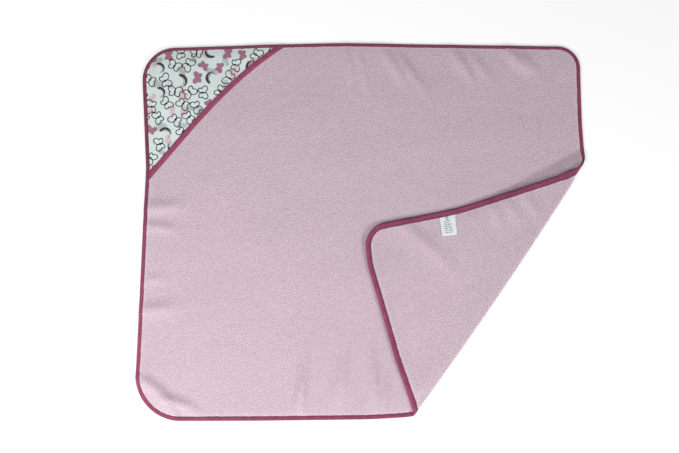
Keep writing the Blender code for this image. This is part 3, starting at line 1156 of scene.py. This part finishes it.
def hood_stitches():
    offset = -HOOD_TAPE / 2 + SEAM_INSET
    count = 110
    line = hood_line(offset, count * 8 + 1)
    begin, finish = line[np.arange(count) * 8], line[np.arange(count) * 8 + 6]
    heights = []
    for place in (begin, finish):
        edge, nearest = edge_distance(place[:, 0], place[:, 1])
        lift = 0.00248 * hood_flatten(edge)
        heights.append(hood_ground(place[:, 0], place[:, 1], edge, nearest) + lift)
    starts = np.column_stack([begin, heights[0]])
    ends = np.column_stack([finish, heights[1]])
    ups = np.tile([0.0, 0.0, 1.0], (count, 1))
    left = (begin[:, 0] - HOOD_CORNER[0]) < (HOOD_CORNER[1] - begin[:, 1])
    made = {}
    for side, chosen in (("left", left), ("top", ~left)):
        made[f"stitches_{side}"] = capsules(
            f"hood_stitches_{side}", starts[chosen], ends[chosen], ups[chosen], STITCH_RADIUS, thread_material
        )
    return made


hood = {**hood_cloth(), **hood_tape(), **hood_stitches()}


# ---- label

LABEL_HEAD = (np.array([0.1554, 0.0272]), np.array([0.1866, 0.034]))
LABEL_FOOT = (np.array([0.1602, -0.016]), np.array([0.1904, -0.0122]))
LABEL_SIZE = (0.031, 0.042)
LABEL_TUCK = 0.003
LABEL_CLOTH = 0.00025
# the printed bars: how far down, where each starts and where it ends, in millimetres
LABEL_BARS = (
    (14, 8, 12), (14, 14, 20), (17.5, 8, 10), (17.5, 12, 17), (21, 8, 13), (21, 15, 22),
    (24.5, 8, 11), (24.5, 13, 19), (28, 8, 14), (28, 17, 21), (32, 9, 12), (32, 15, 22),
    (36, 8, 13), (36, 15, 18), (36, 20, 23),
)


def on_label(across, down):
    """Where a point of the label lies in plan, from its place across and down it in metres."""
    u = (across / LABEL_SIZE[0])[..., None]
    v = (down / LABEL_SIZE[1])[..., None]
    head = LABEL_HEAD[0] * (1 - u) + LABEL_HEAD[1] * u
    foot = LABEL_FOOT[0] * (1 - u) + LABEL_FOOT[1] * u
    return head * (1 - v) + foot * v


def on_corner(plan, height):
    """Points this high on the face of the folded corner that is up, from where they lie in plan."""
    along, beyond = to_crease(plan[..., 0], plan[..., 1])
    beyond = ROLL_PATH - beyond
    edge, nearest = edge_distance(*from_crease(along, beyond))
    return laid(along, beyond, -(half_terry(edge, nearest) + height), edge)


def care_label():
    down = np.linspace(-LABEL_TUCK, LABEL_SIZE[1], 91)
    across, down = np.meshgrid(np.linspace(0, LABEL_SIZE[0], 63), down)
    plan = on_label(across, down)
    curl = 0.0014 * smooth((down - 0.016) / 0.026) + 0.0004 * np.abs(across / LABEL_SIZE[0] * 2 - 1) ** 3
    lift = 0.00012 + np.maximum(curl, 0.0) * smooth(down / 0.01)
    bottom = on_corner(plan, lift).reshape(-1, 3)
    top = on_corner(plan, lift + LABEL_CLOTH).reshape(-1, 3)
    index = np.arange(across.size).reshape(across.shape)
    cell = np.ones((across.shape[0] - 1, across.shape[1] - 1), bool)
    u, v = across * 1000, down * 1000
    ring = circle(u, v, (14.0, 9.0), 2.1)
    bars = np.full(u.shape, 9.0)
    for low, start, end in LABEL_BARS:
        bars = np.minimum(bars, stroke(u, v, (start, low), (end, low), 0.42))
    ink = np.stack([ring, bars, np.zeros(u.shape)], -1).reshape(-1, 3)
    flat = np.stack([across, down, np.zeros(u.shape)], -1).reshape(-1, 3)
    faces = grid_faces(cell, index)
    made = sheet_object("label_cloth", top, bottom, faces, label_material, {"flat": flat, "print_dark": ink})
    start = np.linspace(0.002, LABEL_SIZE[0] - 0.004, 8)
    row = np.full(8, 0.001)
    starts = on_corner(on_label(start, row), np.full(8, 0.00045))
    ends = on_corner(on_label(start + 0.0022, row), np.full(8, 0.00045))
    ups = np.tile([0.0, 0.0, 1.0], (8, 1))
    sewn = capsules("label_stitches", starts, ends, ups, 0.0002, thread_material)
    return made, sewn


label_cloth, label_stitches = care_label()


# ---- the main panel's pieces ride with the towel; the others are fixed where they lie

def bend_over_crease(piece):
    """Fixes the piece where it lies; the roll's turn is worked out but not used."""
    inward = Vector((-CREASE_OUT[0], -CREASE_OUT[1], 0.0))
    climb = Vector((CREASE_ALONG[0], CREASE_ALONG[1], LIFT / CREASE_LENGTH)).normalized()
    upright = climb.cross(inward).normalized()
    if upright.z < 0:
        upright = -upright
    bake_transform(piece)


def open_with_hood(piece):
    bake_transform(piece)


for piece in (main_terry, main_tape, main_stitches):
    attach(piece, "towel")
for piece in (corner_terry, corner_tape, corner_stitches):
    bend_over_crease(piece)
for name, piece in hood.items():
    open_with_hood(piece)
for piece in (label_cloth, label_stitches):
    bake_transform(piece)

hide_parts("main_panel")
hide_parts("corner_panel", "crease_panel")
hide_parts("edge_binding")
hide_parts("edge_stitching")
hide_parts("corner_binding", "crease_binding_bottom", "crease_binding_right")
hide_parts("corner_stitching")
HOOD_NODES = {
    "lining": "hood_lining", "cotton": "hood_cotton", "tape": "hood_binding", "stitches": "hood_stitching",
}
for part, node in HOOD_NODES.items():
    for side in ("left", "top"):
        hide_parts(node)
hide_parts("care_label")
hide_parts("label_stitching")


# ---- stage

def add_floor():
    mesh = bpy.data.meshes.new("floor")
    mesh.from_pydata([(-6, -6, 0), (6, -6, 0), (6, 6, 0), (-6, 6, 0)], [], [(0, 1, 2, 3)])
    floor = add_object("floor", mesh)
    material, tree, shader = new_material("floor", (0.6, 0.6, 0.6), 1.0)
    shader.inputs["Emission Color"].default_value = (1.0, 1.0, 1.0, 1.0)
    shader.inputs["Emission Strength"].default_value = 0.52
    mesh.materials.append(material)


def add_area(name, place, target, size, power):
    light = bpy.data.lights.new(name, "AREA")
    light.shape = "DISK"
    light.size = size
    light.energy = power
    made = add_object(name, light)
    made.location = place
    made.rotation_euler = (Vector(target) - Vector(place)).to_track_quat("-Z", "Y").to_euler()


CAMERA_LENS = 58.96
CAMERA_ELEVATION = 83.491
CAMERA_ROLL = 0.183
CAMERA_DISTANCE = 2.2363
CAMERA_TARGET = (-0.0448, 0.006, 0.0)


def add_camera():
    camera = bpy.data.cameras.new("camera")
    camera.sensor_width = 36.0
    camera.lens = CAMERA_LENS
    made = add_object("camera", camera)
    elevation = math.radians(CAMERA_ELEVATION)
    back = Vector((0.0, -math.cos(elevation), math.sin(elevation)))
    made.location = Vector(CAMERA_TARGET) + back * CAMERA_DISTANCE
    made.rotation_euler = (-back).to_track_quat("-Z", "Y").to_euler()
    made.rotation_euler.rotate_axis("Z", -math.radians(CAMERA_ROLL))
    bpy.context.scene.camera = made


add_floor()
add_area("key", (-1.15, -1.2, 1.62), (-0.1, -0.1, 0), 1.0, 39)
add_area("side", (2.4, -3.0, 2.3), (0, 0, 0), 1.3, 105)
add_camera()
world = bpy.data.worlds.new("studio")
world.use_nodes = True
world.node_tree.nodes["Background"].inputs[0].default_value = (1.0, 1.0, 1.0, 1.0)
world.node_tree.nodes["Background"].inputs[1].default_value = 0.18
bpy.context.scene.world = world
bpy.context.scene.view_settings.view_transform = "Standard"
